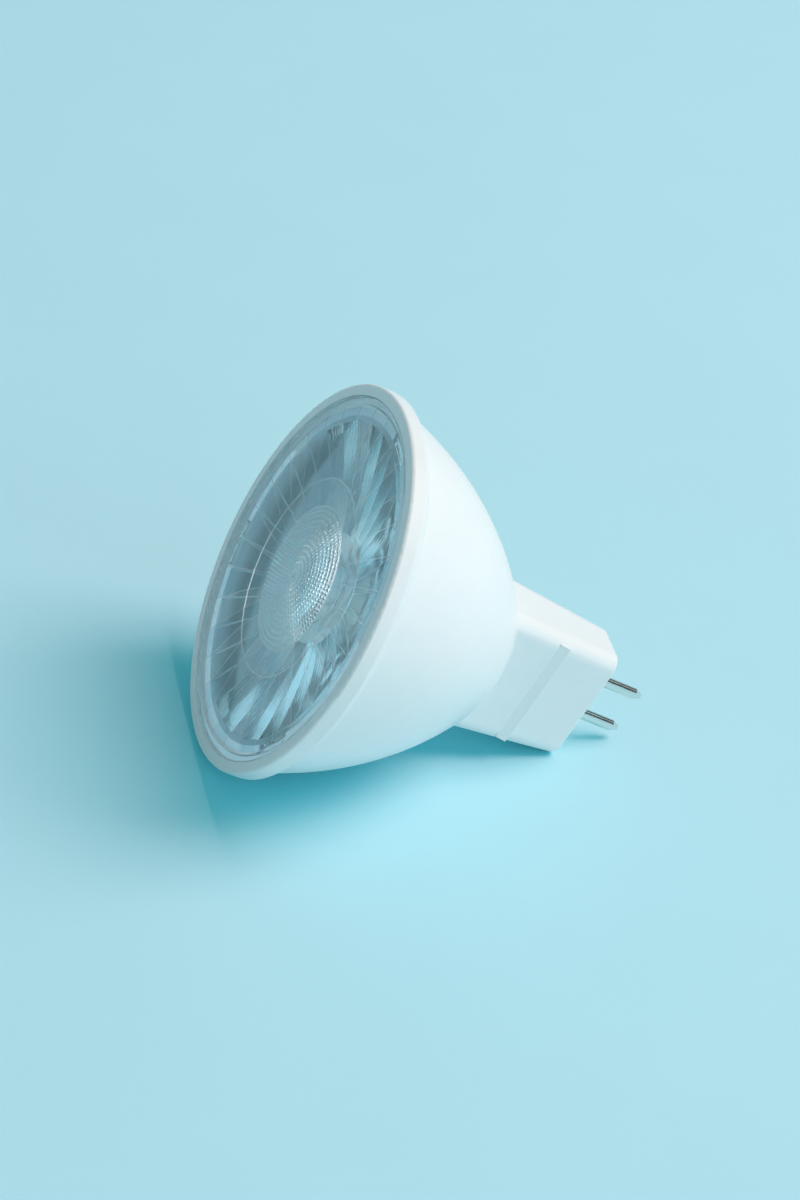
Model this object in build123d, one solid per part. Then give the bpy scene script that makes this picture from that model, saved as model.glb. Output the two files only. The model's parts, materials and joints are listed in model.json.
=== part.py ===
from build123d import *
import os
from math import atan2, cos, radians, sin, sqrt, tan

# LED spotlight bulb with a 50 mm rim and a two-pin base, sizes in millimetres and degrees.
# Each piece is drawn in the lamp frame: z runs along the lamp axis from the front rim to the pins,
# x runs across the two pins. At the end the lamp is laid down on its rim and the end of its neck.

# Housing, rim and bowl
rim_dia = 50.0
rim_depth = 2.1
rim_face = 1.5
rim_back_run = 1.1
rim_lip = 1.3
edge_round = 0.4
bowl_depth = 28.8
bowl_cap_radius = 16.2
bowl_cap_angle = 44.0
wall = 1.6

# Housing, flat neck with a retaining rib on each wide face
neck_length = 13.2
neck_width = 15.8
neck_thickness = 8.7
neck_corner = 1.9
neck_width_draft = 3.4
neck_thickness_draft = 5.0
neck_wall = 1.3
end_wall = 2.0
root_round = 0.5
rib_setback = 7.9
rib_run = 1.3
rib_height = 0.45
rib_inset = 0.8

# Contact pins
pin_dia = 1.5
pin_spacing = 5.33
pin_length = 7.8
pin_taper = 1.0
pin_tip_dia = 0.7
pin_collar_dia = 3.0
pin_collar = 0.7
pin_root_dia = 2.3
pin_tail_dia = 0.9
pin_tail = 3.0
pin_tail_rest = 0.15
pin_gap = 0.03

# Lens, from its front flange to the cavity over the emitter
lens_gap = 0.1
lens_setback = 0.1
flange_thickness = 1.3
flange_width = 1.0
ring_run = 0.4
facet_drop = 0.35
facet_count = 32
facet_turn = 2.0
crater_dia = 25.7
crater_depth = 0.3
dome_dia = 18.8
dome_rise = 0.8
lens_depth = 10.5
optic_inset = 1.6
optic_bend_run = 3.4
optic_bend_depth = 4.4
optic_end_dia = 15.0
cavity_dia = 9.6
cavity_depth = 3.4
cavity_bulge = 1.2
tab_count = 3
tab_turn = 127.0
tab_width = 5.8
tab_depth = 0.9
tab_gap = 0.15

# Heat sink cup inside the bowl
sink_gap = 0.15
sink_wall = 1.2
sink_flange = 1.2
lens_ledge = 0.95
sink_floor = 1.8

# Emitter and its board, stacked between the lens and the heat sink floor
emitter_gap = 0.2
dam_height = 0.6
dam_dia = 7.0
dam_width = 0.5
phosphor_drop = 0.1
emitter_size = 8.0
emitter_thickness = 0.8
led_board_dia = 24.0
led_board_thickness = 1.2
pad_thickness = 0.3
screw_spacing = 19.0
screw_dia = 2.0
screw_head_dia = 3.6
screw_head_height = 1.1
screw_depth = 1.5
screw_gap = 0.05
slot_width = 0.6
slot_depth = 0.5

# Insulator and driver board behind the heat sink
insulator_thickness = 0.4
insulator_inset = 1.2
board_thickness = 1.0
board_side_gap = 0.4
board_end_gap = 0.3

# Leads from the driver board to the emitter board
lead_dia = 0.9
lead_x = 5.2
lead_on_driver = 3.0
lead_on_led_board = 2.8
lead_bend = 1.0
lead_hole_gap = 0.25
lead_rest = 0.03

# Parts on the driver board
capacitor_dia = 6.3
capacitor_room = 2.7
capacitor_setback = 0.8
capacitor_rest = 0.1
capacitor_round = 0.5
groove_setback = 1.2
groove_radius = 0.3
capacitor_lead_dia = 0.5
capacitor_lead_spacing = 2.5
capacitor_lead_run = 0.9
inductor_dia = 5.6
inductor_height = 2.4
inductor_flange = 0.5
inductor_post_dia = 2.4
winding_gap = 0.05
winding_inset = 0.3
part_spacing = 0.6
chip_length = 4.5
chip_width = 2.5
chip_height = 1.4
chip_legs = 3
leg_width = 0.5
leg_reach = 0.7
leg_thickness = 0.2
diode_length = 2.6
diode_width = 1.6
diode_height = 0.9
diode_pitch_x = 5.0
diode_pitch_z = 4.0
diode_setback = 4.0
resistor_length = 1.6
resistor_width = 0.8
resistor_height = 0.45
resistor_count = 4
resistor_pitch = 2.4
resistor_setback = 5.0
ceramic_length = 2.0
ceramic_width = 1.25
ceramic_height = 0.8
ceramic_spacing = 9.4
ceramic_pitch = 3.5
solder_dia = 2.0
solder_length = 2.2
solder_setback = 0.2

# Radii and heights that follow from the sizes above
rim_radius = rim_dia / 2
bowl_start = rim_depth + rim_back_run
bowl_mouth = rim_radius - rim_lip
cap_centre = bowl_depth - bowl_cap_radius
body_length = bowl_depth + neck_length
lens_dia = rim_dia - 2 * rim_face - 2 * lens_gap
ring_dia = lens_dia - 2 * flange_width
facet_dia = ring_dia - 2 * ring_run
optic_start_dia = facet_dia - 2 * optic_inset
optic_bend_dia = optic_start_dia - 2 * optic_bend_run
sink_pocket_radius = lens_dia / 2 + lens_gap - lens_ledge
sink_flange_radius = sink_pocket_radius - sink_gap
lens_seat = lens_setback + flange_thickness
lens_back = lens_setback + lens_depth
dam_top = lens_back + emitter_gap
emitter_top = dam_top + dam_height
led_board_top = emitter_top + emitter_thickness
pad_top = led_board_top + led_board_thickness
floor_front = pad_top + pad_thickness
floor_rear = floor_front + sink_floor
insulator_rear = floor_rear + insulator_thickness
end_wall_inside = body_length - end_wall
tail_start = end_wall_inside - pin_collar
board_start = insulator_rear + board_end_gap
board_end = tail_start - board_end_gap
board_face = -pin_tail_dia / 2 - pin_tail_rest
board_back = board_face - board_thickness
board_width = neck_width - 2 * neck_wall - 2 * board_side_gap
lead_radius = lead_dia / 2
lead_y = board_face + lead_radius + lead_rest
bend_rise = lead_bend - lead_radius - lead_rest
bend_shift = lead_bend - sqrt(lead_bend ** 2 - bend_rise ** 2)
lead_hole_radius = lead_radius + bend_shift + lead_hole_gap
capacitor_start = board_start + capacitor_setback
capacitor_top = board_face + capacitor_rest + capacitor_dia
shoulder_radius = capacitor_top + capacitor_room
capacitor_end = cap_centre + sqrt((bowl_cap_radius - wall) ** 2 - shoulder_radius ** 2)
inductor_z = capacitor_end + 2 * capacitor_lead_run + inductor_dia / 2
chip_z = inductor_z + inductor_dia / 2 + part_spacing + leg_reach + chip_width / 2

# The bowl's section is a round cap and a flank arc that leaves the cap smoothly and meets the rim
cap_normal = Vector(sin(radians(bowl_cap_angle)), 0, cos(radians(bowl_cap_angle)))
flank_tangent = Vector(cap_normal.Z, 0, -cap_normal.X)
flank_chord = Vector(0, 0, cap_centre) + cap_normal * bowl_cap_radius - Vector(bowl_mouth, 0, bowl_start)
flank_radius = flank_chord.dot(flank_chord) / (2 * cap_normal.dot(flank_chord))
flank_centre = Vector(0, 0, cap_centre) + cap_normal * (bowl_cap_radius - flank_radius)


def bowl_radius(z, inset):
    """Radius of the bowl's flank at z, drawn in from the outer skin by inset."""
    return flank_centre.X + sqrt((flank_radius - inset) ** 2 - (z - flank_centre.Z) ** 2)


def bowl_arcs(start, inset):
    """Cap and flank arcs of the bowl's section from the axis to the point start."""
    tip = Vector(0, 0, bowl_depth - inset)
    join = Vector(0, 0, cap_centre) + cap_normal * (bowl_cap_radius - inset)
    return TangentArc(tip, join, tangent=(1, 0, 0)) + TangentArc(join, start, tangent=flank_tangent)


def bowl_solid(start_z, inset):
    """Solid of the bowl from start_z to its tip, drawn in from the outer skin by inset."""
    start = Vector(bowl_radius(start_z, inset), 0, start_z)
    sides = Polyline(start, (0, 0, start_z), (0, 0, bowl_depth - inset))
    return revolve(make_face(bowl_arcs(start, inset) + sides), Axis.Z)


def turned(*points):
    """Solid of revolution about the lamp axis from a closed outline of (radius, z) points."""
    outline = [Vector(radius, 0, z) for radius, z in points]
    return revolve(make_face(Polyline(*outline, close=True)), Axis.Z)


def rod(radius, start_z, end_z, x=0, y=0):
    """Round bar along the lamp axis direction, centred at x and y."""
    bar = Cylinder(radius, end_z - start_z, align=(Align.CENTER, Align.CENTER, Align.MIN))
    return Pos(x, y, start_z) * bar


def domed(base_radius, base_z, tip_z):
    """Spherical cap over a circle at base_z with its tip on the axis at tip_z."""
    arc = TangentArc((0, 0, tip_z), (base_radius, 0, base_z), tangent=(1, 0, 0))
    sides = Polyline((base_radius, 0, base_z), (0, 0, base_z), (0, 0, tip_z))
    return revolve(make_face(arc + sides), Axis.Z)


def on_board(length, width, height, x, z):
    """Block on the front face of the driver board, length along x and width along z."""
    return Pos(x, board_face + height / 2, z) * Box(length, height, width)


def under_board(length, width, height, x, z):
    """Block on the rear face of the driver board, length along x and width along z."""
    return Pos(x, board_back - height / 2, z) * Box(length, height, width)


def neck_half_width(z):
    """Half of the neck's outer width at z."""
    return neck_width / 2 + (body_length - z) * tan(radians(neck_width_draft))


def neck_half_thickness(z):
    """Half of the neck's outer thickness at z."""
    return neck_thickness / 2 + (body_length - z) * tan(radians(neck_thickness_draft))


def neck_solid(end_z, inset):
    """Tapered neck from inside the bowl to end_z, drawn in from the outer faces by inset."""
    sections = []
    for z in (cap_centre, end_z):
        width = 2 * (neck_half_width(z) - inset)
        thickness = 2 * (neck_half_thickness(z) - inset)
        sections.append(Pos(0, 0, z) * RectangleRounded(width, thickness, neck_corner - inset))
    return loft(sections, ruled=True)


def neck_rib(side):
    """Saw-tooth rib across one wide face of the neck, its steep step towards the pins."""
    crest_z = body_length - rib_setback
    foot_z = crest_z - rib_run
    root = neck_half_thickness(crest_z) - neck_wall / 2
    outline = Polyline(
        (0, side * root, foot_z),
        (0, side * neck_half_thickness(foot_z), foot_z),
        (0, side * (neck_half_thickness(crest_z) + rib_height), crest_z),
        (0, side * root, crest_z),
        close=True,
    )
    half_width = neck_half_width(crest_z) - rib_inset
    return extrude(make_face(outline), half_width, dir=(1, 0, 0), both=True)


def housing():
    """White moulding of rim, bowl and neck, hollow, with the lens and heat sink pockets at its mouth."""
    mouth = Vector(bowl_mouth, 0, bowl_start)
    sides = Polyline(
        mouth,
        (rim_radius, 0, rim_depth),
        (rim_radius, 0, 0),
        (0, 0, 0),
        (0, 0, bowl_depth),
    )
    bowl = revolve(make_face(bowl_arcs(mouth, 0) + sides), Axis.Z)
    rim_edges = bowl.edges().filter_by(GeomType.CIRCLE).filter_by(lambda edge: edge.radius > bowl_mouth)
    bowl = fillet(rim_edges, edge_round)
    neck = neck_solid(body_length, 0)
    neck = fillet(neck.faces().sort_by(Axis.Z)[-1].edges(), edge_round)
    body = bowl + neck
    body = fillet(new_edges(bowl, neck, combined=body), root_round)
    body += neck_rib(1)
    body += neck_rib(-1)
    body -= bowl_solid(lens_seat, wall)
    body -= neck_solid(end_wall_inside, neck_wall)
    body -= rod(lens_dia / 2 + lens_gap, 0, lens_seat)
    body -= rod(sink_pocket_radius, lens_seat, lens_seat + sink_flange)
    for x in (-pin_spacing / 2, pin_spacing / 2):
        body -= rod(pin_root_dia / 2 + pin_gap, end_wall_inside, body_length, x)
    return body


def contact_pin(x):
    """Plated pin: tail on the driver board, collar and root in the end wall, shaft and tapered tip."""
    tip_z = body_length + pin_length
    outline = turned(
        (0, tail_start - pin_tail),
        (pin_tail_dia / 2, tail_start - pin_tail),
        (pin_tail_dia / 2, tail_start),
        (pin_collar_dia / 2, tail_start),
        (pin_collar_dia / 2, end_wall_inside),
        (pin_root_dia / 2, end_wall_inside),
        (pin_root_dia / 2, body_length),
        (pin_dia / 2, body_length),
        (pin_dia / 2, tip_z - pin_taper),
        (pin_tip_dia / 2, tip_z),
        (0, tip_z),
    )
    return Pos(x, 0, 0) * outline


def facet_ring(dia, z):
    """Many-sided outline at z, its corners on the facet boundaries."""
    return Pos(0, 0, z) * RegularPolygon(dia / 2, facet_count, rotation=facet_turn)


def lens_tab(turn, reach, gap):
    """Locating tab under the lens flange out to the radius reach, or its notch where gap is not zero."""
    inner = bowl_radius(lens_seat, wall + sink_gap + sink_wall) + lens_gap - 2 * gap
    across = tab_width + 2 * gap
    tab = Box(reach - inner, across, tab_depth + gap, align=(Align.MIN, Align.CENTER, Align.MIN))
    return Rot(0, 0, turn) * Pos(inner, 0, lens_seat) * tab


def tab_turns():
    """Angles of the lens tabs about the lamp axis."""
    return [tab_turn + 360 / tab_count * number for number in range(tab_count)]


def lens():
    """Clear optic: flange, faceted front with a beaded dome seat, faceted back and emitter cavity."""
    facet_z = lens_setback + facet_drop
    crater_z = lens_setback + crater_depth
    optic = rod(lens_dia / 2, lens_setback, lens_seat)
    optic += loft(
        [
            facet_ring(optic_start_dia, lens_seat),
            facet_ring(optic_bend_dia, lens_setback + optic_bend_depth),
            facet_ring(optic_end_dia, lens_back),
        ],
        ruled=True,
    )
    recess = turned((0, lens_setback), (ring_dia / 2, lens_setback), (facet_dia / 2, facet_z), (0, facet_z))
    facets = loft([facet_ring(facet_dia, facet_z), facet_ring(crater_dia, lens_setback)], ruled=True)
    optic -= recess - facets
    optic -= loft([facet_ring(crater_dia, lens_setback), facet_ring(dome_dia, crater_z)], ruled=True)
    optic += domed(dome_dia / 2 * cos(radians(180 / facet_count)), crater_z, crater_z - dome_rise)
    cavity_top = lens_back - cavity_depth
    cavity = rod(cavity_dia / 2, cavity_top, lens_back)
    optic -= cavity - domed(cavity_dia / 2, cavity_top, cavity_top + cavity_bulge)
    for turn in tab_turns():
        optic += lens_tab(turn, sink_flange_radius - lens_gap, 0)
    return optic


def screw_places():
    """Centres of the emitter board's screws."""
    return [(0, -screw_spacing / 2), (0, screw_spacing / 2)]


def with_lead_holes(body, start_z, end_z):
    """The body with a clear hole for each lead."""
    for x in (-lead_x, lead_x):
        body -= rod(lead_hole_radius, start_z, end_z, x, lead_y)
    return body


def with_screw_holes(body, start_z, end_z):
    """The body with a close hole for each screw."""
    for x, y in screw_places():
        body -= rod(screw_dia / 2 + screw_gap, start_z, end_z, x, y)
    return body


def heat_sink():
    """Aluminium cup that follows the bowl, with a flange under the lens and a floor for the emitter."""
    outside = wall + sink_gap
    inside = outside + sink_wall
    behind_floor = rod(rim_radius, floor_rear, bowl_depth)
    above_floor = rod(rim_radius, floor_front, bowl_depth)
    cup = bowl_solid(lens_seat, outside) - behind_floor
    cup += rod(sink_flange_radius, lens_seat, lens_seat + sink_flange)
    cup -= bowl_solid(lens_seat, inside) - above_floor
    for turn in tab_turns():
        cup -= lens_tab(turn, rim_radius, tab_gap)
    cup = with_lead_holes(cup, floor_front, floor_rear)
    return with_screw_holes(cup, floor_front, floor_front + screw_depth)


def led_board():
    """Round metal-core board of the emitter."""
    board = rod(led_board_dia / 2, led_board_top, pad_top)
    return with_lead_holes(with_screw_holes(board, led_board_top, pad_top), led_board_top, pad_top)


def thermal_pad():
    """Soft pad between the emitter board and the heat sink floor."""
    pad = rod(led_board_dia / 2, pad_top, floor_front)
    return with_lead_holes(with_screw_holes(pad, pad_top, floor_front), pad_top, floor_front)


def led_emitter():
    """Square substrate of the emitter."""
    plate = Box(emitter_size, emitter_size, emitter_thickness)
    return Pos(0, 0, emitter_top + emitter_thickness / 2) * plate


def emitter_dam():
    """Ring around the emitting area."""
    return rod(dam_dia / 2, dam_top, emitter_top) - rod(dam_dia / 2 - dam_width, dam_top, emitter_top)


def emitter_phosphor():
    """Yellow fill inside the ring."""
    return rod(dam_dia / 2 - dam_width, dam_top + phosphor_drop, emitter_top)


def board_screws():
    """Two slotted screws through the emitter board into the heat sink floor."""
    screws = []
    head_top = led_board_top - screw_head_height
    for x, y in screw_places():
        screw = rod(screw_head_dia / 2, head_top, led_board_top, x, y)
        screw = fillet(screw.edges().sort_by(Axis.Z)[0], screw_head_height / 2)
        screw += rod(screw_dia / 2, led_board_top, floor_front + screw_depth, x, y)
        slot = Box(screw_head_dia, slot_width, slot_depth)
        screws.append(screw - Pos(x, y, head_top + slot_depth / 2) * slot)
    return screws


def insulator_disc():
    """Plastic disc on the back of the heat sink floor."""
    radius = bowl_radius(floor_rear, wall + sink_gap) - insulator_inset
    return with_lead_holes(rod(radius, floor_rear, insulator_rear), floor_rear, insulator_rear)


def driver_board():
    """Narrow board along the neck, its front face just under the tails of the pins."""
    board = Box(board_width, board_thickness, board_end - board_start)
    return Pos(0, (board_face + board_back) / 2, (board_start + board_end) / 2) * board


def lead(side):
    """Insulated lead from the driver board through the heat sink floor onto the emitter board."""
    start_z = board_start + lead_on_driver
    top_z = led_board_top - lead_radius - lead_rest
    path = FilletPolyline(
        (side * lead_x, lead_y, start_z),
        (side * lead_x, lead_y, top_z),
        (side * (lead_x + lead_on_led_board), lead_y, top_z),
        radius=lead_bend,
    )
    return sweep(Plane(path @ 0, z_dir=path % 0) * Circle(lead_radius), path)


def filter_capacitor():
    """Electrolytic can lying on the driver board, with a crimp groove and two bent leads."""
    radius = capacitor_dia / 2
    can_y = board_face + capacitor_rest + radius
    can = rod(radius, capacitor_start, capacitor_end)
    can = fillet(can.edges().filter_by(GeomType.CIRCLE), capacitor_round)
    can -= Pos(0, 0, capacitor_end - groove_setback) * Torus(radius, groove_radius)
    can = Pos(0, can_y, 0) * can
    bend_z = capacitor_end + capacitor_lead_run
    for x in (-capacitor_lead_spacing / 2, capacitor_lead_spacing / 2):
        path = FilletPolyline(
            (x, can_y, capacitor_end - capacitor_round),
            (x, can_y, bend_z),
            (x, board_face, bend_z),
            radius=capacitor_lead_dia,
        )
        can += sweep(Plane(path @ 0, z_dir=path % 0) * Circle(capacitor_lead_dia / 2), path)
    return can


def standing(radius, low, high):
    """Round bar that stands on the driver board at the inductor, from low to high above the board."""
    bar = Cylinder(radius, high - low, align=(Align.CENTER, Align.CENTER, Align.MIN))
    return Pos(0, board_face + low, inductor_z) * Rot(-90, 0, 0) * bar


def inductor_core():
    """Drum core: two flanges on a post."""
    upper = inductor_height - inductor_flange
    core = standing(inductor_dia / 2, 0, inductor_flange)
    core += standing(inductor_post_dia / 2, inductor_flange, upper)
    return core + standing(inductor_dia / 2, upper, inductor_height)


def inductor_winding():
    """Coil between the flanges of the drum core."""
    low = inductor_flange + winding_gap
    high = inductor_height - inductor_flange - winding_gap
    coil = standing(inductor_dia / 2 - winding_inset, low, high)
    return coil - standing(inductor_post_dia / 2 + winding_gap, low, high)


def driver_chip():
    """Small package with a row of legs along each long side."""
    chip = on_board(chip_length, chip_width, chip_height, 0, chip_z)
    pitch = chip_length / chip_legs
    for number in range(chip_legs):
        x = (number - (chip_legs - 1) / 2) * pitch
        chip += on_board(leg_width, chip_width + 2 * leg_reach, leg_thickness, x, chip_z)
    return chip


def rectifier_diodes():
    """Four diodes on the rear of the driver board near the pins."""
    last_z = board_end - diode_setback
    return [
        under_board(diode_length, diode_width, diode_height, x, z)
        for x in (-diode_pitch_x / 2, diode_pitch_x / 2)
        for z in (last_z - diode_pitch_z, last_z)
    ]


def chip_resistors():
    """Row of chip resistors on the rear of the driver board."""
    first_x = -(resistor_count - 1) * resistor_pitch / 2
    return [
        under_board(resistor_width, resistor_length, resistor_height, first_x + number * resistor_pitch,
                    board_start + resistor_setback)
        for number in range(resistor_count)
    ]


def chip_capacitors():
    """Ceramic chip capacitors along both sides of the inductor and the chip."""
    return [
        on_board(ceramic_width, ceramic_length, ceramic_height, x, z)
        for x in (-ceramic_spacing / 2, ceramic_spacing / 2)
        for z in (inductor_z, inductor_z + ceramic_pitch)
    ]


def pin_solder():
    """Solder around the tail of each pin, standing on the driver board."""
    joints = []
    end_z = board_end - solder_setback
    above_board = Pos(0, board_face, end_z) * Box(
        neck_width, solder_dia, body_length, align=(Align.CENTER, Align.MIN, Align.CENTER)
    )
    for x in (-pin_spacing / 2, pin_spacing / 2):
        joint = rod(solder_dia / 2, end_z - solder_length, end_z, x) & above_board
        joints.append(joint - rod(pin_tail_dia / 2, end_z - solder_length, end_z, x))
    return joints


# Lying rest: the rounded rear edge of the rim and the end edge of a narrow neck face touch the floor
rim_turn = atan2(rim_lip, rim_back_run)
neck_turn = radians(90 - neck_width_draft)
rim_touch_radius = rim_radius - edge_round
rim_touch_z = rim_depth - edge_round * tan(rim_turn / 2)
neck_touch_x = neck_width / 2 - edge_round * tan(neck_turn / 2)
neck_touch_z = body_length - edge_round
lying_tilt = atan2(rim_touch_radius - neck_touch_x, neck_touch_z - rim_touch_z)

nodes = {
    "housing": housing(),
    "lens": lens(),
    "contact_pin_left": contact_pin(-pin_spacing / 2),
    "contact_pin_right": contact_pin(pin_spacing / 2),
    "heat_sink": heat_sink(),
    "led_board": led_board(),
    "thermal_pad": thermal_pad(),
    "led_emitter": led_emitter(),
    "emitter_dam": emitter_dam(),
    "emitter_phosphor": emitter_phosphor(),
    "board_screws": board_screws(),
    "insulator_disc": insulator_disc(),
    "driver_board": driver_board(),
    "positive_lead": lead(1),
    "negative_lead": lead(-1),
    "filter_capacitor": filter_capacitor(),
    "inductor_core": inductor_core(),
    "inductor_winding": inductor_winding(),
    "driver_chip": driver_chip(),
    "rectifier_diodes": rectifier_diodes(),
    "chip_resistors": chip_resistors(),
    "chip_capacitors": chip_capacitors(),
    "pin_solder": pin_solder(),
}

# The part's frame: x along the floor from the lens to the pins, z up, origin under the middle
heading = (sin(lying_tilt), 0, cos(lying_tilt))
axis_down = (cos(lying_tilt), 0, -sin(lying_tilt))
lying = Plane(origin=(0, 0, 0), x_dir=heading, z_dir=axis_down).location
reach = [lying * nodes[name] for name in ("housing", "contact_pin_right")]
box = Compound(children=reach).bounding_box()
rest = Pos(-box.center().X, 0, -box.min.Z) * lying

os.makedirs("parts", exist_ok=True)
for name, shape in nodes.items():
    solids = shape if isinstance(shape, list) else [shape]
    placed = [rest * solid for solid in solids]
    export_step(placed[0] if len(placed) == 1 else Compound(children=placed), f"parts/{name}.step")
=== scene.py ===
import json
import math

import bmesh
import bpy
import numpy as np
from mathutils import Matrix, Vector


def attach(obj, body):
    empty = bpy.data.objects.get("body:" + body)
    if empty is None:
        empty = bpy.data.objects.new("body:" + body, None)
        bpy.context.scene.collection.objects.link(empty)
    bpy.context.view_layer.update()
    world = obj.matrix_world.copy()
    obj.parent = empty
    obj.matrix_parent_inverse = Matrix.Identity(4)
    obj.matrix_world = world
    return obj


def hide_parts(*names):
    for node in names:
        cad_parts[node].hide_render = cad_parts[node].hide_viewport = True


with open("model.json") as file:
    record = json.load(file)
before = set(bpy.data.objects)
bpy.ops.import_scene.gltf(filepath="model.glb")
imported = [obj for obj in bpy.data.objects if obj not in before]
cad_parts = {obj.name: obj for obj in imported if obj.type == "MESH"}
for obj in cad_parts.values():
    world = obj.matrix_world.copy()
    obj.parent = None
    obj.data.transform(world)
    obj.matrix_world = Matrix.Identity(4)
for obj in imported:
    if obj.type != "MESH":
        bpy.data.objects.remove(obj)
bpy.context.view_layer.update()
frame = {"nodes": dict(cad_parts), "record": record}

# An LED spotlight bulb lying on a pale table. Shapes are drawn in lamp millimetres: z runs along the
# lamp axis from the front of the rim to the pins, and x runs across the two pins. Angles are in degrees.
MM = 0.001
BODY_LENGTH = 42.0

# Front of the lens: radii, and depths behind the front of the rim
LENS_RADIUS = 23.4
LENS_FRONT = 0.1
LENS_SEAT = 1.4
LENS_BEVEL = 0.12
RING_RADIUS = 22.4
FACETS = 32
FACET_TURN = 2.0
FACET_RADIUS = 22.15
FACET_DEPTH = 0.45
CRATER_RADIUS = 12.85
CRATER_DEPTH = 0.4
CRATER_EDGE = 0.2
CRATER_LIP = 0.04

# Dome in the crater. Each circle of beads has more of them than the one inside it, by the same number. A bead
# is hazy below a share of its height.
DOME_RADIUS = 9.4
DOME_RISE = 0.8
BEAD_CIRCLES = 13
BEADS_PER_CIRCLE = 8
BEAD_RISE = 0.042
BEAD_VALLEY = 0.45

# Back of the lens, with the cavity over the emitter and the tabs under the flange
LENS_BACK = 10.6
OPTIC_RADIUS = 20.4
OPTIC_BEND_RADIUS = 17.0
OPTIC_BEND_DEPTH = 4.5
OPTIC_END_RADIUS = 7.5
CAVITY_RADIUS = 4.8
CAVITY_DEPTH = 7.2
CAVITY_BULGE = 1.2
TABS = 3
TAB_TURN = 127.0
TAB_WIDTH = 5.8
TAB_DEPTH = 0.9
TAB_INNER = 21.3
TAB_OUTER = 22.3
TAB_SLOPE = 0.1

# Moulding marks: rounded corners with seams between the facets, flutes along them, and facets that each lean
# a little. A face of the front is a seam where its corner is rounded by more than a share.
FRONT_SEAM = 0.3
FRONT_LEAN = 0.02
BACK_LEAN = 0.06
BACK_RIDGE = 0.06
FLUTES = 6
FLUTE_DEPTH = 0.012
LEAN_SEED = 7

# Mesh of the lens: columns across a facet and in its rounded corner, and rows along each surface
FACET_COLUMNS = 24
EDGE_COLUMN = 3
FACET_ROWS = 8
BEAD_ROWS = 5
OPTIC_ROWS = 16
CAVITY_ROWS = 10
CREASE_ANGLE = 25.0

# Clear plastic of the lens: the slots of its materials, and its tints as a whole or facet by facet
FRONT_SLOT, WALL_SLOT, EDGE_SLOT, CRATER_SLOT, SEAM_SLOT, VALLEY_SLOT, FACET_SLOT = range(7)
LENS_IOR = 1.49
HAZE_GRAIN = 1.5
LENS_TINTS = (0.88, 0.95, 0.97), (0.92, 0.98, 1.0)
FACET_TINTS = (0.62, 0.8, 0.88), (0.96, 1.0, 1.0)
LENS_SHADOW = (0.86, 0.92, 0.94)

# Cup behind the lens: pale metal at its mouth and floor, and painted shade darkening the wall between these
# depths
CUP_MOUTH_DEPTHS = (3.5, 7.5)
CUP_FLOOR_DEPTHS = (9.0, 10.5)
CUP_PALE_METAL = (0.7, 0.75, 0.79), (0.77, 0.81, 0.85)
# Painted shade on the cup wall, where less light comes in through the lens
CUP_PAINTED_SHADE = (0.2, 0.26, 0.29), (0.25, 0.31, 0.34)
CUP_ROUGH = (0.4, 0.55)
CUP_METALLIC = 0.3
CUP_GRAIN = 5.0
CUP_RELIEF = 0.01

# Specks that change the gloss of a solid surface, for each cloud that changes its colour
SPECKS_PER_CLOUD = 6

# Camera: angle off the lens axis, turn about that axis from the pins' plane, and the slant of the lamp axis
# in the picture
CAMERA_TARGET = (2.45, 0.15, 13.4)
CAMERA_DISTANCE = 404.0
CAMERA_OFF_AXIS = 63.79
CAMERA_TURN = 63.95
AXIS_SLANT = -22.24
CAMERA_LENS = 99.67

# Floor, in metres, with colours in linear light. It holds little red, which makes its shadow teal, and a red
# light on the floor alone puts the rest back.
FLOOR_RADIUS = 6.0
FLOOR_SIDES = 128
FLOOR_NEAR = 0.15
FLOOR_FAR = 0.6
FLOOR_COLOUR = (0.22, 0.85, 0.955)
FLOOR_ROUGHNESS = 0.75
FLOOR_SPECULAR = 0.2
PAPER_GRAIN = 40.0
PAPER_SHADE = 0.97
FLOOR_RED_POWER = 45.0
FLOOR_RED = (1, 0, 0)

# World: the room that is mirrored has its stops from the horizon at 0 to straight up at 1
BACKDROP_COLOUR = (0.42, 0.73, 0.85)
CEILING_COLOUR = (0.015, 0.03, 0.035)
STRIP_COLOUR = (0.75, 0.78, 0.8)
CARD_COLOUR = (0.48, 0.86, 1.0)
ROOM_STOPS = (
    (0.36, BACKDROP_COLOUR),
    (0.42, CEILING_COLOUR),
    (0.575, CEILING_COLOUR),
    (0.605, STRIP_COLOUR),
    (0.68, STRIP_COLOUR),
    (0.72, CEILING_COLOUR),
)
AMBIENT_COLOUR = (0.57, 0.82, 0.88)
AMBIENT_STRENGTH = 0.42

# Lights, in metres and watts. The glint light stands where the beads that lean by its tilt and turn mirror
# it to the camera.
KEY_DIRECTION = (0.6, -0.02, 0.8)
KEY_DISTANCE = 1.6
KEY_SIZE = 1.0
KEY_POWER = 19.2
KEY_COLOUR = (1.0, 0.88, 0.82)
FILL_DIRECTION = (0.4, -0.88, 0.25)
FILL_DISTANCE = 1.5
FILL_SIZE = 1.2
FILL_POWER = 6.4
FILL_COLOUR = (0.84, 0.93, 0.97)
GLINT_TILT = 12.5
GLINT_TURN = 50.0
GLINT_DISTANCE = 1.0
GLINT_SIZE = 0.2
GLINT_POWER = 1.5
GLINT_COLOUR = (1, 1, 1)

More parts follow.
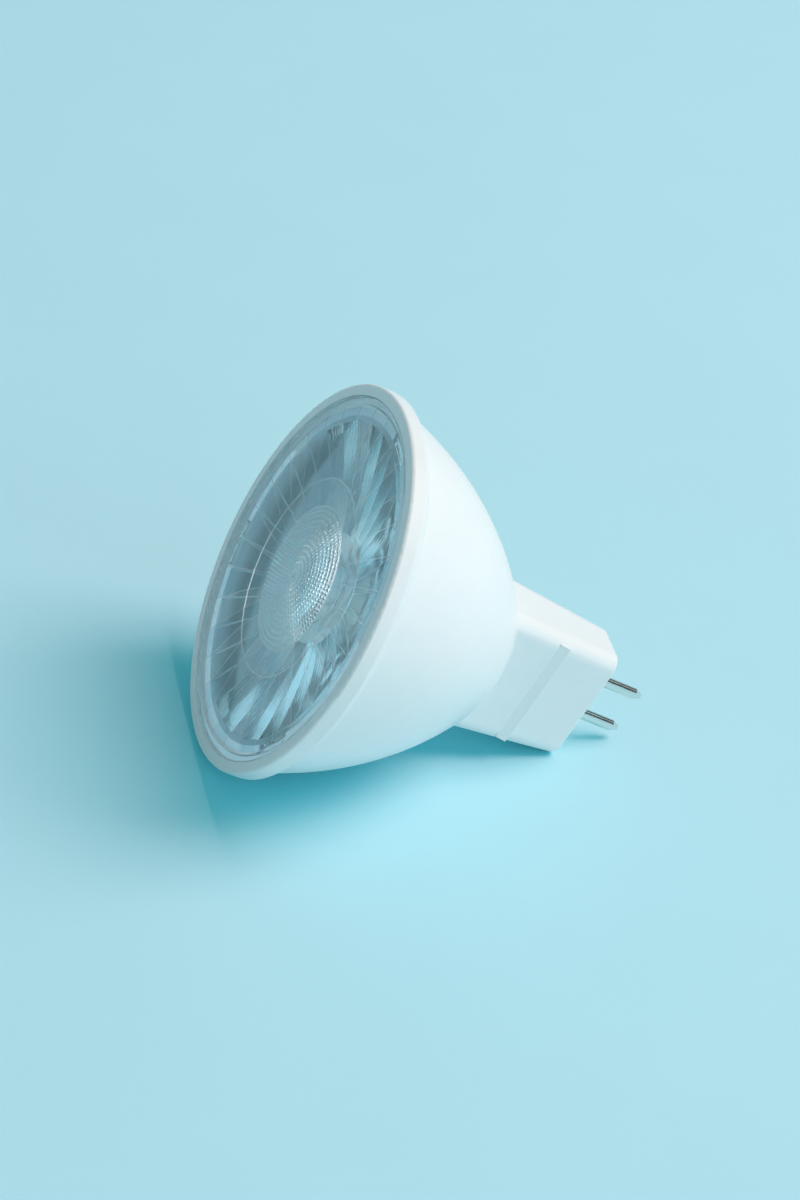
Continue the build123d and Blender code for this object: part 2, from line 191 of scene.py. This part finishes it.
# Lamp frame, found from the two contact pins
mounts = {mount["name"]: mount for mount in frame["record"]["mounts"]}
left_pin, right_pin = (Vector(mounts[name]["pos_m"]) for name in ("pin_left", "pin_right"))
lamp_z = Vector(mounts["pin_left"]["axis"]).normalized()
lamp_x = (right_pin - left_pin).normalized()
lamp_y = lamp_z.cross(lamp_x)
pin_middle = BODY_LENGTH + mounts["pin_left"]["dims"]["length_mm"] / 2
lamp_origin = (left_pin + right_pin) / 2 - lamp_z * pin_middle * MM
lamp_turn = Matrix((lamp_x, lamp_y, lamp_z)).transposed().to_4x4()
lamp = Matrix.Translation(lamp_origin) @ lamp_turn @ Matrix.Scale(MM, 4)

lamp_axes = bpy.data.objects.new("lamp_axes", None)
lamp_axes.matrix_world = lamp
bpy.context.scene.collection.objects.link(lamp_axes)


class Nodes:
    """Short calls for building one shader tree."""

    # Places of the colour sockets in a mix node, where the sockets of each data type share their names
    FIRST_COLOUR, SECOND_COLOUR, MIXED_COLOUR = 6, 7, 2

    def __init__(self, tree):
        self.tree = tree
        tree.nodes.clear()

    def add(self, kind, **settings):
        """A new node with its named settings and input values."""
        node = self.tree.nodes.new(kind)
        for name, value in settings.items():
            socket = node.inputs.get(name.replace("_", " ").title())
            if socket is None:
                setattr(node, name, value)
            else:
                self.put(value, socket)
        return node

    def put(self, value, socket):
        """Links an output to a socket, or sets the socket's own value."""
        if isinstance(value, bpy.types.NodeSocket):
            self.tree.links.new(value, socket)
        else:
            socket.default_value = value

    def lamp_point(self, scale=(1, 1, 1)):
        """Place on the part in lamp millimetres, scaled."""
        place = self.add("ShaderNodeTexCoord", object=lamp_axes).outputs["Object"]
        mapping = self.add("ShaderNodeMapping", vector_type="POINT", vector=place, scale=scale)
        return mapping.outputs["Vector"]

    def lens_turn(self):
        """Angle round the lamp axis, as the points of the lens keep it."""
        return self.add("ShaderNodeAttribute", attribute_name="around").outputs["Fac"]

    def noise(self, point, scale):
        """Soft noise from 0 to 1."""
        return self.add("ShaderNodeTexNoise", vector=point, scale=scale).outputs["Fac"]

    def compute(self, operation, *values):
        """The outcome of one arithmetic operation."""
        node = self.add("ShaderNodeMath", operation=operation)
        for value, socket in zip(values, node.inputs):
            self.put(value, socket)
        return node.outputs["Value"]

    def between(self, factor, low, high):
        """A number that goes from low to high with the factor."""
        return self.add("ShaderNodeMapRange", value=factor, to_min=low, to_max=high).outputs["Result"]

    def fade(self, value, start, end):
        """A share that goes softly from 0 where the value is at the start to 1 at the end."""
        node = self.add("ShaderNodeMapRange", value=value, from_min=start, from_max=end)
        node.interpolation_type = "SMOOTHSTEP"
        return node.outputs["Result"]

    def blend(self, factor, first, second):
        """A colour that goes from the first to the second with the factor."""
        node = self.add("ShaderNodeMix", data_type="RGBA", factor=factor)
        for place, colour in ((self.FIRST_COLOUR, first), (self.SECOND_COLOUR, second)):
            is_socket = isinstance(colour, bpy.types.NodeSocket)
            self.put(colour if is_socket else (*colour, 1), node.inputs[place])
        return node.outputs[self.MIXED_COLOUR]

    def mix(self, factor, first, second):
        """A shader that goes from the first to the second with the factor."""
        node = self.add("ShaderNodeMixShader")
        for value, socket in zip((factor, first, second), node.inputs):
            self.put(value, socket)
        return node.outputs["Shader"]

    def bump(self, height, relief):
        """Surface normal with a small relief in millimetres."""
        return self.add("ShaderNodeBump", strength=1.0, distance=relief * MM, height=height).outputs["Normal"]

    def show(self, shader, output="ShaderNodeOutputMaterial"):
        """Sends the shader to the output."""
        self.add(output, surface=shader)


def new_material(name):
    """An empty node material and its shader tree."""
    material = bpy.data.materials.new(name)
    material.use_nodes = True
    return material, Nodes(material.node_tree)


def finish_of(name, dark, light, rough, metallic=0.0, grain=1.0, stretch=(1, 1, 1), relief=0.0):
    """A solid surface whose colour, gloss and relief vary softly between two ends."""
    material, nodes = new_material(name)
    point = nodes.lamp_point(stretch)
    cloud = nodes.noise(point, grain)
    speck = nodes.noise(point, grain * SPECKS_PER_CLOUD)
    surface = nodes.add("ShaderNodeBsdfPrincipled", metallic=metallic)
    nodes.put(nodes.blend(cloud, dark, light), surface.inputs["Base Color"])
    nodes.put(nodes.between(speck, *rough), surface.inputs["Roughness"])
    if relief:
        nodes.put(nodes.bump(speck, relief), surface.inputs["Normal"])
    nodes.show(surface.outputs["BSDF"])
    return material


def cup_metal_painted_shade(name):
    """Metal of the cup, pale at its mouth and floor, with painted shade darkening the wall between."""
    material, nodes = new_material(name)
    point = nodes.lamp_point()
    grain = nodes.noise(point, CUP_GRAIN)
    depth = nodes.add("ShaderNodeSeparateXYZ", vector=point).outputs["Z"]
    pale_metal = nodes.blend(grain, *CUP_PALE_METAL)
    # Painted shade: the wall deep in the cup is darkened, where less light comes through the lens
    painted_shade = nodes.blend(grain, *CUP_PAINTED_SHADE)
    wall = nodes.blend(nodes.fade(depth, *CUP_MOUTH_DEPTHS), pale_metal, painted_shade)
    colour = nodes.blend(nodes.fade(depth, *CUP_FLOOR_DEPTHS), wall, pale_metal)
    surface = nodes.add("ShaderNodeBsdfPrincipled", metallic=CUP_METALLIC)
    nodes.put(colour, surface.inputs["Base Color"])
    nodes.put(nodes.between(grain, *CUP_ROUGH), surface.inputs["Roughness"])
    nodes.put(nodes.bump(grain, CUP_RELIEF), surface.inputs["Normal"])
    nodes.show(surface.outputs["BSDF"])
    return material


def clear_moulding(name, rough, clear, in_cells=False, streak_scale=0.0, streak_relief=0.0):
    """Plastic as clear as given, which lets the lights shine through to the pieces behind it.

    In cells, each facet has a tint of its own. Streaks run along the facets.
    """
    material, nodes = new_material(name)
    haze = nodes.noise(nodes.lamp_point(), HAZE_GRAIN)
    if in_cells:
        per_radian = FACETS / (2 * math.pi)
        first = FACETS * FACET_TURN / 360
        cell = nodes.compute("FLOOR", nodes.compute("MULTIPLY_ADD", nodes.lens_turn(), per_radian, -first))
        tone = nodes.add("ShaderNodeTexWhiteNoise", noise_dimensions="1D", w=cell).outputs["Value"]
        tint = nodes.blend(tone, *FACET_TINTS)
    else:
        tint = nodes.blend(haze, *LENS_TINTS)
    surface = nodes.add("ShaderNodeBsdfPrincipled", transmission_weight=clear)
    surface.inputs["IOR"].default_value = LENS_IOR
    nodes.put(tint, surface.inputs["Base Color"])
    nodes.put(nodes.between(haze, *rough), surface.inputs["Roughness"])
    if streak_relief:
        turn = nodes.lens_turn()
        streaks = nodes.add("ShaderNodeTexNoise", noise_dimensions="1D", w=turn, scale=streak_scale)
        nodes.put(nodes.bump(streaks.outputs["Fac"], streak_relief), surface.inputs["Normal"])
    passing = nodes.add("ShaderNodeBsdfTransparent", color=(*LENS_SHADOW, 1)).outputs["BSDF"]
    in_shadow = nodes.add("ShaderNodeLightPath").outputs["Is Shadow Ray"]
    nodes.show(nodes.mix(in_shadow, surface.outputs["BSDF"], passing))
    return material


# Columns of the lens, facet by facet: place across the facet from -1 to 1, angle round the axis, reach of the
# flat side as a share of its corners, share of the corner's rounding, flutes and lean
half_facet = math.pi / FACETS
facet_steps = np.arange(FACET_COLUMNS) / FACET_COLUMNS * 2 - 1
across = np.tile(np.sin(facet_steps * math.pi / 2), FACETS)
off_middle = np.arctan(across * math.tan(half_facet))
middles = math.radians(FACET_TURN) + (2 * np.arange(FACETS) + 1) * half_facet
around = np.repeat(middles, FACET_COLUMNS) + off_middle
side_reach = math.cos(half_facet) / np.cos(off_middle)
side_reach = np.minimum(side_reach, side_reach[EDGE_COLUMN])
ridge = np.tile(np.clip(1 - (1 - np.abs(facet_steps)) * FACET_COLUMNS / 2 / EDGE_COLUMN, 0, 1), FACETS)
flute = np.tile(np.cos(facet_steps * math.pi * FLUTES), FACETS)
lean = np.repeat(np.random.default_rng(LEAN_SEED).uniform(-1, 1, FACETS), FACET_COLUMNS) * across


def ring(radius, z, sided=False):
    """One loop of lens points at z: a circle, or a many-sided outline with its corners at the radius."""
    reach = radius * (side_reach if sided else np.ones_like(around))
    return np.stack((reach * np.cos(around), reach * np.sin(around), np.broadcast_to(z, around.shape)), 1)


def rows(count):
    """Shares from just above 0 to 1."""
    return np.arange(1, count + 1) / count


def cap_height(radius, base_radius, rise):
    """Height of a round cap over its base circle."""
    curve = (base_radius ** 2 + rise ** 2) / (2 * rise)
    return math.sqrt(curve ** 2 - radius ** 2) - curve + rise


def arch(share):
    """A curve from 0 up to 1 half-way and back to 0."""
    return 4 * share * (1 - share)


def bead_swell(circle, share):
    """Height from 0 to 1 of the pillow beads in one staggered circle, a share of the way across it."""
    count = BEADS_PER_CIRCLE * (circle + 1)
    along = (around / (2 * math.pi) * count + circle % 2 / 2) % 1
    return arch(share) * arch(along)


def dome_loops():
    """The beaded dome from its tip outwards."""
    base = DOME_RADIUS * math.cos(half_facet)
    loops = []
    for circle in range(BEAD_CIRCLES):
        for share in rows(BEAD_ROWS):
            radius = base * (circle + share) / BEAD_CIRCLES
            depth = CRATER_DEPTH - cap_height(radius, base, DOME_RISE)
            loops.append(ring(radius, depth - BEAD_RISE * bead_swell(circle, share)))
    return loops


def front_loops():
    """Crater, facets, ring and flange of the front, outwards from the dome."""
    loops = [ring(DOME_RADIUS, CRATER_DEPTH, True)]
    loops.append(ring(CRATER_RADIUS - CRATER_EDGE, LENS_FRONT + CRATER_LIP, True))
    loops.append(ring(CRATER_RADIUS, LENS_FRONT, True))
    for share in rows(FACET_ROWS):
        radius = CRATER_RADIUS + (FACET_RADIUS - CRATER_RADIUS) * share
        depth = LENS_FRONT + (FACET_DEPTH - LENS_FRONT) * share
        loops.append(ring(radius, depth + FRONT_LEAN * lean * math.sin(math.pi * share), True))
    loops.append(ring(RING_RADIUS, LENS_FRONT))
    loops.append(ring(LENS_RADIUS - LENS_BEVEL, LENS_FRONT))
    loops.append(ring(LENS_RADIUS, LENS_FRONT + LENS_BEVEL))
    loops.append(ring(LENS_RADIUS, LENS_SEAT - LENS_BEVEL))
    loops.append(ring(LENS_RADIUS - LENS_BEVEL, LENS_SEAT))
    return loops


def tab_loops():
    """Underside of the flange with its locating tabs, inwards to the optic."""
    spacing = 2 * math.pi / TABS
    off_tab = (around - math.radians(TAB_TURN) + spacing / 2) % spacing - spacing / 2
    half_width = math.asin(TAB_WIDTH / 2 / TAB_OUTER)
    below = LENS_SEAT + TAB_DEPTH * (np.abs(off_tab) < half_width)
    return [
        ring(TAB_OUTER + TAB_SLOPE, LENS_SEAT),
        ring(TAB_OUTER, below),
        ring(TAB_INNER, below),
        ring(TAB_INNER - TAB_SLOPE, LENS_SEAT),
        ring(OPTIC_RADIUS, LENS_SEAT, True),
    ]


def optic_loops():
    """Curved many-sided back of the optic, from the flange through its bend to the emitter cavity."""
    start = np.array((OPTIC_RADIUS, LENS_SEAT))
    bend = np.array((OPTIC_BEND_RADIUS, OPTIC_BEND_DEPTH))
    end = np.array((OPTIC_END_RADIUS, LENS_BACK))
    first = np.linalg.norm(bend - start)
    middle = first / (first + np.linalg.norm(end - bend))
    pull = (bend - start * (1 - middle) ** 2 - end * middle ** 2) / (2 * middle * (1 - middle))
    swell = FLUTE_DEPTH * flute + BACK_RIDGE * ridge + BACK_LEAN * lean
    loops = []
    for share in rows(OPTIC_ROWS):
        radius, depth = start * (1 - share) ** 2 + pull * 2 * share * (1 - share) + end * share ** 2
        loop = ring(radius, depth, True)
        loop[:, :2] *= 1 + (swell * math.sin(math.pi * share) / radius)[:, None]
        loops.append(loop)
    return loops


def cavity_loops():
    """Emitter cavity, from its mouth to its bulging roof."""
    loops = [ring(CAVITY_RADIUS + LENS_BEVEL, LENS_BACK), ring(CAVITY_RADIUS, LENS_BACK - LENS_BEVEL)]
    loops.append(ring(CAVITY_RADIUS, CAVITY_DEPTH))
    for share in rows(CAVITY_ROWS)[:-1]:
        radius = CAVITY_RADIUS * (1 - share)
        loops.append(ring(radius, CAVITY_DEPTH + cap_height(radius, CAVITY_RADIUS, CAVITY_BULGE)))
    return loops


def lens_slots(row_count, first_front, first_wall, last_wall):
    """Material slot of each lens face by row and column."""
    slots = np.full((row_count, len(around)), FRONT_SLOT)
    swells = [bead_swell(circle, share) for circle in range(BEAD_CIRCLES) for share in rows(BEAD_ROWS)]
    slots[:first_front - 1][np.array(swells[1:]) < BEAD_VALLEY] = VALLEY_SLOT
    crater_lip = first_front + 1
    first_facet = crater_lip + 1
    ring_step = first_facet + FACET_ROWS
    flange_edge = ring_step + 2
    slots[first_front] = CRATER_SLOT
    slots[crater_lip] = SEAM_SLOT
    slots[first_facet:ring_step] = FACET_SLOT
    slots[ring_step] = EDGE_SLOT
    slots[flange_edge:flange_edge + 3] = EDGE_SLOT
    slots[first_wall:last_wall] = WALL_SLOT
    both_sides = np.stack((ridge, np.roll(ridge, -1)))
    slots[first_wall:last_wall, both_sides.max(0) > 0] = SEAM_SLOT
    slots[first_front:ring_step, both_sides.min(0) > FRONT_SEAM] = SEAM_SLOT
    slots[last_wall:] = CRATER_SLOT
    return slots.ravel()


def lens_faces(loop_count):
    """Faces of the lens: a fan round its first point, strips from loop to loop, a fan round its last."""
    columns = len(around)
    sides = [(column, (column + 1) % columns) for column in range(columns)]
    faces = [(0, 1 + b, 1 + a) for a, b in sides]
    for number in range(loop_count - 1):
        low = 1 + number * columns
        high = low + columns
        faces += [(low + a, low + b, high + b, high + a) for a, b in sides]
    low = 1 + (loop_count - 1) * columns
    last_point = low + columns
    return faces + [(low + a, low + b, last_point) for a, b in sides]


def lens_piece(materials):
    """The clear lens as one closed piece, with a material for each slot."""
    parts = [dome_loops(), front_loops(), tab_loops(), optic_loops(), cavity_loops()]
    loops = [loop for part in parts for loop in part]
    first_front = len(parts[0])
    first_wall = first_front + len(parts[1]) + len(parts[2]) - 1
    last_wall = first_wall + len(parts[3])
    tip = np.array([[0, 0, CRATER_DEPTH - DOME_RISE]])
    roof = np.array([[0, 0, CAVITY_DEPTH + CAVITY_BULGE]])
    points = np.concatenate([tip, *loops, roof])
    mesh = bpy.data.meshes.new("lens_optic")
    mesh.from_pydata([lamp @ Vector(point) for point in points], [], lens_faces(len(loops)))
    for material in materials:
        mesh.materials.append(material)
    fan = np.full(len(around), FRONT_SLOT)
    slots = np.concatenate([fan, lens_slots(len(loops) - 1, first_front, first_wall, last_wall), fan])
    mesh.polygons.foreach_set("material_index", slots)
    turns = np.concatenate([[0], np.tile(around, len(loops)), [0]])
    mesh.attributes.new("around", "FLOAT", "POINT").data.foreach_set("value", turns.astype(np.float32))
    shade(mesh)
    crease_facets(mesh, first_front, last_wall)
    piece = bpy.data.objects.new("lens_optic", mesh)
    bpy.context.scene.collection.objects.link(piece)
    return piece


def shade(mesh):
    """Outward faces, smooth shading, and hard edges where faces turn by more than the crease angle."""
    work = bmesh.new()
    work.from_mesh(mesh)
    bmesh.ops.recalc_face_normals(work, faces=work.faces)
    work.to_mesh(mesh)
    work.free()
    mesh.shade_smooth()
    mesh.set_sharp_from_angle(angle=math.radians(CREASE_ANGLE))


def crease_facets(mesh, first_loop, last_loop):
    """Hard edges along the rings of the front and on both sides of every facet boundary."""
    ends = np.empty(len(mesh.edges) * 2, np.int32)
    mesh.edges.foreach_get("vertices", ends)
    loop, column = np.divmod(ends.reshape(-1, 2) - 1, len(around))
    inside = ((loop >= first_loop) & (loop <= last_loop)).all(1)
    in_loop = loop[:, 0] == loop[:, 1]
    facet_end = FACET_ROWS + 2
    hard_loops = first_loop + np.array((0, 1, 2, facet_end, facet_end + 1))
    along_ring = in_loop & np.isin(loop[:, 0], hard_loops)
    boundary_columns = (EDGE_COLUMN, FACET_COLUMNS - EDGE_COLUMN)
    along_facet = ~in_loop & np.isin(column[:, 0] % FACET_COLUMNS, boundary_columns)
    sharp_edges = mesh.attributes["sharp_edge"].data
    hard = np.zeros(len(mesh.edges), bool)
    sharp_edges.foreach_get("value", hard)
    sharp_edges.foreach_set("value", hard | (inside & (along_ring | along_facet)))


def floor_card():
    """Floor paper that is lit near the lamp and has the plain backdrop colour further out."""
    material, nodes = new_material("floor_card")
    place = nodes.add("ShaderNodeTexCoord").outputs["Object"]
    length = nodes.add("ShaderNodeVectorMath", operation="LENGTH", vector=place).outputs["Value"]
    darker = [channel * PAPER_SHADE for channel in FLOOR_COLOUR]
    card = nodes.add("ShaderNodeBsdfPrincipled", roughness=FLOOR_ROUGHNESS)
    card.inputs["Specular IOR Level"].default_value = FLOOR_SPECULAR
    nodes.put(nodes.blend(nodes.noise(place, PAPER_GRAIN), darker, FLOOR_COLOUR), card.inputs["Base Color"])
    glow = nodes.add("ShaderNodeEmission", color=(*BACKDROP_COLOUR, 1), strength=1.0)
    far = nodes.fade(length, FLOOR_NEAR, FLOOR_FAR)
    nodes.show(nodes.mix(far, card.outputs["BSDF"], glow.outputs["Emission"]))
    return material


def floor_piece():
    """A round floor, wide enough that no edge shows."""
    mesh = bpy.data.meshes.new("floor")
    shape = bmesh.new()
    bmesh.ops.create_circle(shape, cap_ends=True, segments=FLOOR_SIDES, radius=FLOOR_RADIUS)
    shape.to_mesh(mesh)
    shape.free()
    mesh.materials.append(floor_card())
    piece = bpy.data.objects.new("floor", mesh)
    bpy.context.scene.collection.objects.link(piece)
    return piece


def studio_world():
    """The light all round.

    It is a backdrop for what is seen, a bluer card for what is seen through the lens, a room with a dark
    ceiling and a light strip for what is mirrored, and a soft pale light for the rest.
    """
    world = bpy.data.worlds.new("studio")
    world.use_nodes = True
    nodes = Nodes(world.node_tree)
    path = nodes.add("ShaderNodeLightPath").outputs
    seen = nodes.compute("MAXIMUM", path["Is Camera Ray"], path["Is Glossy Ray"])
    seen = nodes.compute("MAXIMUM", seen, path["Is Transmission Ray"])
    soft = nodes.add("ShaderNodeBackground", color=(*AMBIENT_COLOUR, 1), strength=AMBIENT_STRENGTH)
    direction = nodes.add("ShaderNodeTexCoord").outputs["Generated"]
    height = nodes.add("ShaderNodeSeparateXYZ", vector=direction).outputs["Z"]
    ramp = nodes.add("ShaderNodeValToRGB", fac=height)
    stops = ramp.color_ramp.elements
    for number, (position, colour) in enumerate(ROOM_STOPS):
        stop = stops[number] if number < len(stops) else stops.new(position)
        stop.position = position
        stop.color = (*colour, 1)
    room = nodes.blend(path["Is Reflection Ray"], BACKDROP_COLOUR, ramp.outputs["Color"])
    room = nodes.blend(path["Is Transmission Ray"], room, CARD_COLOUR)
    backdrop = nodes.add("ShaderNodeBackground", color=room, strength=1.0)
    shader = nodes.mix(seen, soft.outputs["Background"], backdrop.outputs["Background"])
    nodes.show(shader, "ShaderNodeOutputWorld")
    return world


def soft_box(name, direction, distance, size, power, colour):
    """A square soft light that faces the lamp from a direction."""
    data = bpy.data.lights.new(name, "AREA")
    data.size = size
    data.energy = power
    data.color = colour
    light = bpy.data.objects.new(name, data)
    towards = Vector(direction).normalized()
    light.location = towards * distance + lamp @ Vector(CAMERA_TARGET)
    light.rotation_euler = towards.to_track_quat("Z", "Y").to_euler()
    bpy.context.scene.collection.objects.link(light)
    return light


def shine_only_on(light, piece, group_name):
    """Keeps a light to one piece."""
    group = bpy.data.collections.new(group_name)
    group.objects.link(piece)
    light.light_linking.receiver_collection = group


def off_lens(tilt, turn):
    """Direction out of the lens, tilted off its axis towards a turn about that axis from the pins' plane."""
    tilt, turn = math.radians(tilt), math.radians(turn)
    aside = lamp_x * math.cos(turn) + lamp_y * math.sin(turn)
    return aside * math.sin(tilt) - lamp_z * math.cos(tilt)


def photo_camera(outwards):
    """A camera with the photograph's view of the lamp, in that direction from it."""
    slant = math.radians(AXIS_SLANT)
    along = (lamp_z - outwards * lamp_z.dot(outwards)).normalized()
    athwart = outwards.cross(along)
    right = along * math.cos(slant) - athwart * math.sin(slant)
    up = along * math.sin(slant) + athwart * math.cos(slant)
    place = lamp @ Vector(CAMERA_TARGET) + outwards * CAMERA_DISTANCE * MM
    data = bpy.data.cameras.new("camera")
    data.lens = CAMERA_LENS
    camera = bpy.data.objects.new("camera", data)
    camera.matrix_world = Matrix.Translation(place) @ Matrix((right, up, outwards)).transposed().to_4x4()
    bpy.context.scene.collection.objects.link(camera)
    return camera


# Lens, drawn again with its beads, flutes and seams
lens_materials = {
    FRONT_SLOT: clear_moulding("lens_polish", rough=(0.0, 0.03), clear=0.93),
    WALL_SLOT: clear_moulding(
        "lens_wall", rough=(0.0, 0.02), clear=1.0, streak_scale=60.0, streak_relief=0.008
    ),
    EDGE_SLOT: clear_moulding("lens_edge", rough=(0.25, 0.4), clear=0.55),
    CRATER_SLOT: clear_moulding("lens_haze", rough=(0.03, 0.08), clear=0.8, in_cells=True),
    SEAM_SLOT: clear_moulding("lens_seam", rough=(0.15, 0.3), clear=0.6),
    VALLEY_SLOT: clear_moulding("lens_valley", rough=(0.1, 0.2), clear=0.45),
    FACET_SLOT: clear_moulding("lens_facets", rough=(0.0, 0.03), clear=0.93, in_cells=True),
}
lens_optic = lens_piece(lens_materials.values())
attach(lens_optic, "root")
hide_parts("lens")

# Surfaces of the solids that stay as they are: dark and light end of the colour, span of roughness, and the
# grain per millimetre and relief in millimetres
white_body = finish_of(
    "white_moulding", (0.86, 0.87, 0.88), (0.9, 0.905, 0.91), (0.26, 0.36), grain=0.4, relief=0.004
)
pin_plating = finish_of(
    "pin_plating", (0.78, 0.77, 0.74), (0.9, 0.89, 0.86), (0.06, 0.14),
    metallic=1.0, grain=3.0, stretch=(1, 1, 0.08), relief=0.006,
)
# Cup metal with painted shade on its wall
sink_metal = cup_metal_painted_shade("sink_metal")
board_mask = finish_of("led_board_mask", (0.8, 0.82, 0.82), (0.86, 0.88, 0.88), (0.35, 0.5), grain=0.6)
pad_rubber = finish_of(
    "pad_rubber", (0.3, 0.33, 0.36), (0.38, 0.41, 0.44), (0.7, 0.85), grain=1.5, relief=0.02
)
ceramic = finish_of("emitter_ceramic", (0.84, 0.84, 0.82), (0.9, 0.9, 0.88), (0.5, 0.6), grain=1.2)
dam_resin = finish_of("dam_resin", (0.8, 0.8, 0.78), (0.88, 0.88, 0.86), (0.3, 0.45), grain=1.2)
phosphor = finish_of("phosphor", (0.82, 0.81, 0.7), (0.88, 0.87, 0.78), (0.4, 0.55), grain=2.0, relief=0.01)
screw_steel = finish_of(
    "screw_steel", (0.5, 0.5, 0.5), (0.65, 0.65, 0.64), (0.25, 0.4), metallic=1.0, grain=2.0, relief=0.01
)
film = finish_of("insulator_film", (0.8, 0.82, 0.83), (0.88, 0.89, 0.9), (0.4, 0.5), grain=0.8)
laminate = finish_of("board_laminate", (0.03, 0.16, 0.08), (0.05, 0.22, 0.11), (0.35, 0.5), relief=0.01)
red_sleeve = finish_of("lead_red", (0.34, 0.2, 0.19), (0.42, 0.26, 0.24), (0.4, 0.5), grain=1.5)
black_sleeve = finish_of("lead_black", (0.015, 0.015, 0.016), (0.03, 0.03, 0.032), (0.4, 0.5), grain=1.5)
can_sleeve = finish_of("can_sleeve", (0.02, 0.03, 0.06), (0.03, 0.045, 0.09), (0.3, 0.4), grain=0.8)
ferrite = finish_of("ferrite", (0.03, 0.03, 0.03), (0.06, 0.06, 0.06), (0.55, 0.7), grain=2.0, relief=0.02)
copper = finish_of(
    "copper_wire", (0.55, 0.24, 0.1), (0.7, 0.34, 0.16), (0.25, 0.4),
    metallic=1.0, grain=2.0, stretch=(0.2, 8, 0.2), relief=0.03,
)
chip_resin = finish_of(
    "chip_resin", (0.02, 0.02, 0.02), (0.035, 0.035, 0.035), (0.5, 0.65), grain=2.0, relief=0.01
)
resistor = finish_of("resistor_body", (0.03, 0.03, 0.035), (0.06, 0.06, 0.065), (0.3, 0.45), grain=2.0)
ceramic_chip = finish_of("ceramic_chip", (0.4, 0.28, 0.16), (0.5, 0.36, 0.22), (0.4, 0.55), grain=2.0)
solder = finish_of(
    "solder", (0.55, 0.55, 0.56), (0.68, 0.68, 0.69), (0.2, 0.35), metallic=1.0, grain=2.0, relief=0.02
)

finishes = {
    "housing": white_body,
    "contact_pin_left": pin_plating,
    "contact_pin_right": pin_plating,
    "heat_sink": sink_metal,
    "led_board": board_mask,
    "thermal_pad": pad_rubber,
    "led_emitter": ceramic,
    "emitter_dam": dam_resin,
    "emitter_phosphor": phosphor,
    "board_screws": screw_steel,
    "insulator_disc": film,
    "driver_board": laminate,
    "positive_lead": red_sleeve,
    "negative_lead": black_sleeve,
    "filter_capacitor": can_sleeve,
    "inductor_core": ferrite,
    "inductor_winding": copper,
    "driver_chip": chip_resin,
    "rectifier_diodes": chip_resin,
    "chip_resistors": resistor,
    "chip_capacitors": ceramic_chip,
    "pin_solder": solder,
}
for name, material in finishes.items():
    node = frame["nodes"][name]
    node.data.materials.clear()
    node.data.materials.append(material)

# Stage
floor = floor_piece()
bpy.context.scene.world = studio_world()
key = soft_box("key", KEY_DIRECTION, KEY_DISTANCE, KEY_SIZE, KEY_POWER, KEY_COLOUR)
fill = soft_box("fill", FILL_DIRECTION, FILL_DISTANCE, FILL_SIZE, FILL_POWER, FILL_COLOUR)
floor_red = soft_box("floor_red", KEY_DIRECTION, KEY_DISTANCE, KEY_SIZE, FLOOR_RED_POWER, FLOOR_RED)
shine_only_on(floor_red, floor, "on_floor")
for light in (key, fill, floor_red):
    light.visible_glossy = False

# Camera, and a light that only shows as glints in the beads that lean towards it
outwards = off_lens(CAMERA_OFF_AXIS, CAMERA_TURN)
bpy.context.scene.camera = photo_camera(outwards)
bpy.context.scene.view_settings.view_transform = "Standard"
bead_face = off_lens(GLINT_TILT, GLINT_TURN)
mirrored = bead_face * 2 * bead_face.dot(outwards) - outwards
glint = soft_box("glint", mirrored, GLINT_DISTANCE, GLINT_SIZE, GLINT_POWER, GLINT_COLOUR)
shine_only_on(glint, lens_optic, "glinting")
glint.visible_camera = False
glint.visible_diffuse = False
glint.visible_transmission = False
